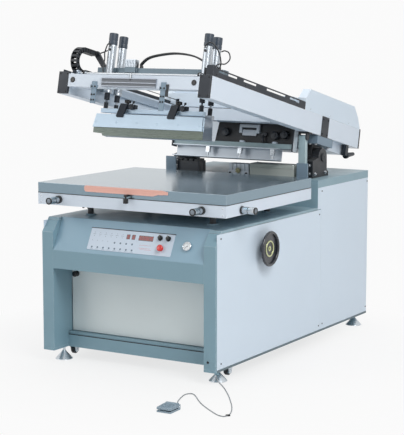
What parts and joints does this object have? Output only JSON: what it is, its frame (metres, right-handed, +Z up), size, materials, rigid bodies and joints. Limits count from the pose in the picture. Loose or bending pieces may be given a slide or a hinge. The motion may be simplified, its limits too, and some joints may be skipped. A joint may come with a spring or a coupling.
{
  "type": "flatbed screen printer",
  "caption": "Flatbed screen printer: cabinet on levelling feet, lifting vacuum table, tilting arms with squeegee carriage, foot pedal.",
  "frame": {"origin": "floor level, at the middle of the footprint without the pedal cord", "axes": "+X to the machine's right seen from its front, +Y to the rear, +Z up"},
  "size_m": [1.2485, 2.0604, 1.5149],
  "materials": {
    "frame_paint": "fine textured enamel",
    "deck_paint": "satin enamel",
    "panel_white": "satin powder coat",
    "arm_white": "satin powder coat",
    "chrome": "polished",
    "overlay": "matt printed film",
    "gauge": "gloss bezel",
    "cast_black": "black paint",
    "units": "satin enamel",
    "motor": "dark enamel",
    "gearbox": "grey enamel",
    "pedal_paint": "textured enamel",
    "cord": "matt sheath",
    "door_paint": "satin enamel",
    "knob_black": "moulded",
    "roller": "moulded",
    "stop_red": "moulded",
    "needle": "matt",
    "wheel": "moulded",
    "steel": "ground",
    "platform": "dark enamel",
    "slide_plate": "machined",
    "table_top": "polished",
    "strip": "sheet",
    "knob_silver": "knurled",
    "trim_dark": "black anodised",
    "rail": "satin",
    "channel": "satin",
    "belt": "toothed belt",
    "carriage": "anodised",
    "cylinder": "satin",
    "hose": "satin tube",
    "holder": "satin",
    "blade": "polyurethane",
    "flood": "satin",
    "chain": "moulded"
  },
  "bodies": {
    "cabinet": {"base_tray": "frame_paint", "frame_posts": "frame_paint", "frame_rails": "frame_paint", "front_deck": "deck_paint", "rear_deck": "deck_paint", "console_box": "deck_paint", "cabinet_panels": "panel_white", "levelling_feet": "chrome", "control_overlay": "overlay", "gauge_case": "gauge", "bearing_housings": "cast_black", "deck_units": "units", "lift_gearmotor": "motor", "cabinet_units": "units", "lift_gearbox": "gearbox", "pedal_base": "pedal_paint", "pedal_cord": "cord"},
    "door": {"front_door": "door_paint"},
    "door_knob": {"door_knob": "knob_black"},
    "roller_left": {"roller_left": "roller"},
    "roller_right": {"roller_right": "roller"},
    "selector_left": {"selector_left": "knob_black"},
    "selector_right": {"selector_right": "knob_black"},
    "stop_button": {"stop_button": "stop_red"},
    "gauge_needle": {"gauge_needle": "needle"},
    "treadle": {"pedal_treadle": "pedal_paint"},
    "handwheel": {"handwheel": "wheel"},
    "lift_screw": {"lift_screw": "steel"},
    "table_lift": {"lift_platform": "platform", "table_frame": "arm_white"},
    "x_slide": {"x_slide": "slide_plate"},
    "table": {"y_slide": "slide_plate", "table_plate": "table_top", "front_strip": "strip"},
    "x_knob": {"x_knob": "knob_silver"},
    "y_knob_left": {"y_knob_left": "knob_silver"},
    "y_knob_right": {"y_knob_right": "knob_silver"},
    "head": {"arms": "arm_white", "arm_fittings": "trim_dark", "cross_beams": "arm_white", "front_hangers": "rail", "guide_rails": "rail", "rear_cover": "panel_white", "pivot_brackets": "cast_black", "clamp_channel": "channel", "drive_motor": "motor", "drive_belts": "belt"},
    "drive_shaft": {"drive_shaft": "steel"},
    "idler_shaft": {"idler_shaft": "steel"},
    "lift_strut": {"lift_strut": "deck_paint"},
    "lift_crank": {"lift_crank": "steel"},
    "carriage": {"carriage_beam": "carriage", "air_cylinders": "cylinder", "air_hoses": "hose"},
    "squeegee": {"squeegee_holder": "holder", "squeegee_blade": "blade"},
    "star_knob_left": {"star_knob_left": "knob_black"},
    "star_knob_right": {"star_knob_right": "knob_black"},
    "flood_bar": {"flood_bar": "flood"},
    "energy_chain": {"energy_chain": "chain"}
  },
  "joints": [
    {"name": "door_swing", "type": "hinge", "parent": "cabinet", "child": "door", "pos_m": [0.3545, -0.39911, 0.285], "axis": [0, 0, 1], "range_deg": [0, 88]},
    {"name": "door_knob_turn", "type": "hinge", "parent": "door", "child": "door_knob", "pos_m": [-0.4095, -0.39911, 0.4], "axis": [0, -1, 0], "range_deg": [0, 90]},
    {"name": "roller_left_spin", "type": "hinge", "parent": "cabinet", "child": "roller_left", "pos_m": [-0.4385, -0.39411, 0.035], "axis": [1, 0, 0], "continuous": true},
    {"name": "roller_right_spin", "type": "hinge", "parent": "cabinet", "child": "roller_right", "pos_m": [0.3935, -0.39411, 0.035], "axis": [1, 0, 0], "continuous": true},
    {"name": "selector_left_turn", "type": "hinge", "parent": "cabinet", "child": "selector_left", "pos_m": [0.1185, -0.50702, 0.61748], "axis": [0, -0.887, 0.4617], "range_deg": [-60, 60]},
    {"name": "selector_right_turn", "type": "hinge", "parent": "cabinet", "child": "selector_right", "pos_m": [0.1605, -0.50702, 0.61748], "axis": [0, -0.887, 0.4617], "range_deg": [-60, 60]},
    {"name": "stop_push", "type": "slide", "parent": "cabinet", "child": "stop_button", "axis": [0, 0.887, -0.4617], "range_m": [0, 0.0045], "stiffness_N_per_m": 2000},
    {"name": "needle_swing", "type": "hinge", "parent": "cabinet", "child": "gauge_needle", "pos_m": [0.2655, -0.52481, 0.5963], "axis": [0, -0.887, 0.4617], "range_deg": [-270, 0], "stiffness_Nm_per_rad": 0.0005},
    {"name": "treadle_press", "type": "hinge", "parent": "cabinet", "child": "treadle", "pos_m": [0.45995, -0.95913, 0.014], "axis": [0.9994, 0.0349, 0], "range_deg": [0, 3.2], "stiffness_Nm_per_rad": 30, "springref_deg": -2.86},
    {"name": "table_lift", "type": "slide", "parent": "cabinet", "child": "table_lift", "axis": [0, 0, 1], "range_m": [-0.03, 0]},
    {"name": "handwheel_turn", "type": "hinge", "parent": "cabinet", "child": "handwheel", "pos_m": [0.4635, -0.13311, 0.55], "axis": [1, 0, 0], "range_deg": [-2701, 1]},
    {"name": "screw_turn", "type": "hinge", "parent": "cabinet", "child": "lift_screw", "pos_m": [-0.0365, -0.13311, 0.6], "axis": [0, 0, 1], "range_deg": [-1, 2701]},
    {"name": "x_adjust", "type": "slide", "parent": "table_lift", "child": "x_slide", "axis": [1, 0, 0], "range_m": [-0.01, 0.01]},
    {"name": "y_adjust", "type": "slide", "parent": "x_slide", "child": "table", "axis": [0, 1, 0], "range_m": [-0.01, 0.01]},
    {"name": "x_knob_turn", "type": "hinge", "parent": "table_lift", "child": "x_knob", "pos_m": [0.5035, -0.39911, 0.7551], "axis": [1, 0, 0], "range_deg": [-1801, 1801]},
    {"name": "y_knob_left_turn", "type": "hinge", "parent": "table_lift", "child": "y_knob_left", "pos_m": [-0.4165, -0.55411, 0.7601], "axis": [0, -1, 0], "range_deg": [-1801, 1801]},
    {"name": "y_knob_right_turn", "type": "hinge", "parent": "table_lift", "child": "y_knob_right", "pos_m": [0.3435, -0.55411, 0.7601], "axis": [0, -1, 0], "range_deg": [-1801, 1801]},
    {"name": "arm_tilt", "type": "hinge", "parent": "cabinet", "child": "head", "pos_m": [-0.0365, 0.59389, 0.9], "axis": [1, 0, 0], "range_deg": [0, 12.3]},
    {"name": "drive_shaft_turn", "type": "hinge", "parent": "head", "child": "drive_shaft", "pos_m": [-0.0365, 0.40014, 1.15206], "axis": [1, 0, 0], "range_deg": [-2300, 10]},
    {"name": "idler_shaft_turn", "type": "hinge", "parent": "head", "child": "idler_shaft", "pos_m": [-0.0365, -0.42351, 1.33164], "axis": [1, 0, 0], "range_deg": [-2300, 10]},
    {"name": "strut_swing", "type": "hinge", "parent": "head", "child": "lift_strut", "pos_m": [0.3245, 0.45189, 1.00772], "axis": [1, 0, 0], "range_deg": [-8.6, 0.1]},
    {"name": "crank_turn", "type": "hinge", "parent": "cabinet", "child": "lift_crank", "pos_m": [0.2955, 0.45189, 0.696], "axis": [1, 0, 0], "range_deg": [-1, 181]},
    {"name": "carriage_slide", "type": "slide", "parent": "head", "child": "carriage", "axis": [0, 0.977, -0.213], "range_m": [0, 0.5]},
    {"name": "squeegee_lift", "type": "slide", "parent": "carriage", "child": "squeegee", "axis": [0, 0.213, 0.977], "range_m": [0, 0.04]},
    {"name": "flood_lift", "type": "slide", "parent": "carriage", "child": "flood_bar", "axis": [0, 0.213, 0.977], "range_m": [0, 0.04]},
    {"name": "star_left_turn", "type": "hinge", "parent": "squeegee", "child": "star_knob_left", "pos_m": [-0.1735, -0.32473, 1.20264], "axis": [0, 0.213, 0.977], "range_deg": [0, 360]},
    {"name": "star_right_turn", "type": "hinge", "parent": "squeegee", "child": "star_knob_right", "pos_m": [0.1005, -0.32473, 1.20264], "axis": [0, 0.213, 0.977], "range_deg": [0, 360]},
    {"name": "chain_slide", "type": "slide", "parent": "carriage", "child": "energy_chain", "axis": [0, 0.977, -0.213], "range_m": [-0.2501, 0.0001]}
  ],
  "couplings": [
    {"joint": "handwheel_turn", "follows": "table_lift", "rad_per_m": 1570.8},
    {"joint": "screw_turn", "follows": "table_lift", "rad_per_m": -1570.8},
    {"joint": "x_knob_turn", "follows": "x_adjust", "rad_per_m": 3141.6},
    {"joint": "y_knob_left_turn", "follows": "y_adjust", "rad_per_m": 3141.6},
    {"joint": "y_knob_right_turn", "follows": "y_adjust", "rad_per_m": 3141.6},
    {"joint": "strut_swing", "follows": "arm_tilt", "ratio": -0.68964},
    {"joint": "crank_turn", "follows": "arm_tilt", "ratio": 14.634},
    {"joint": "drive_shaft_turn", "follows": "carriage_slide", "rad_per_m": -75.188},
    {"joint": "idler_shaft_turn", "follows": "carriage_slide", "rad_per_m": -75.188},
    {"joint": "chain_slide", "follows": "carriage_slide", "ratio": -0.5}
  ]
}
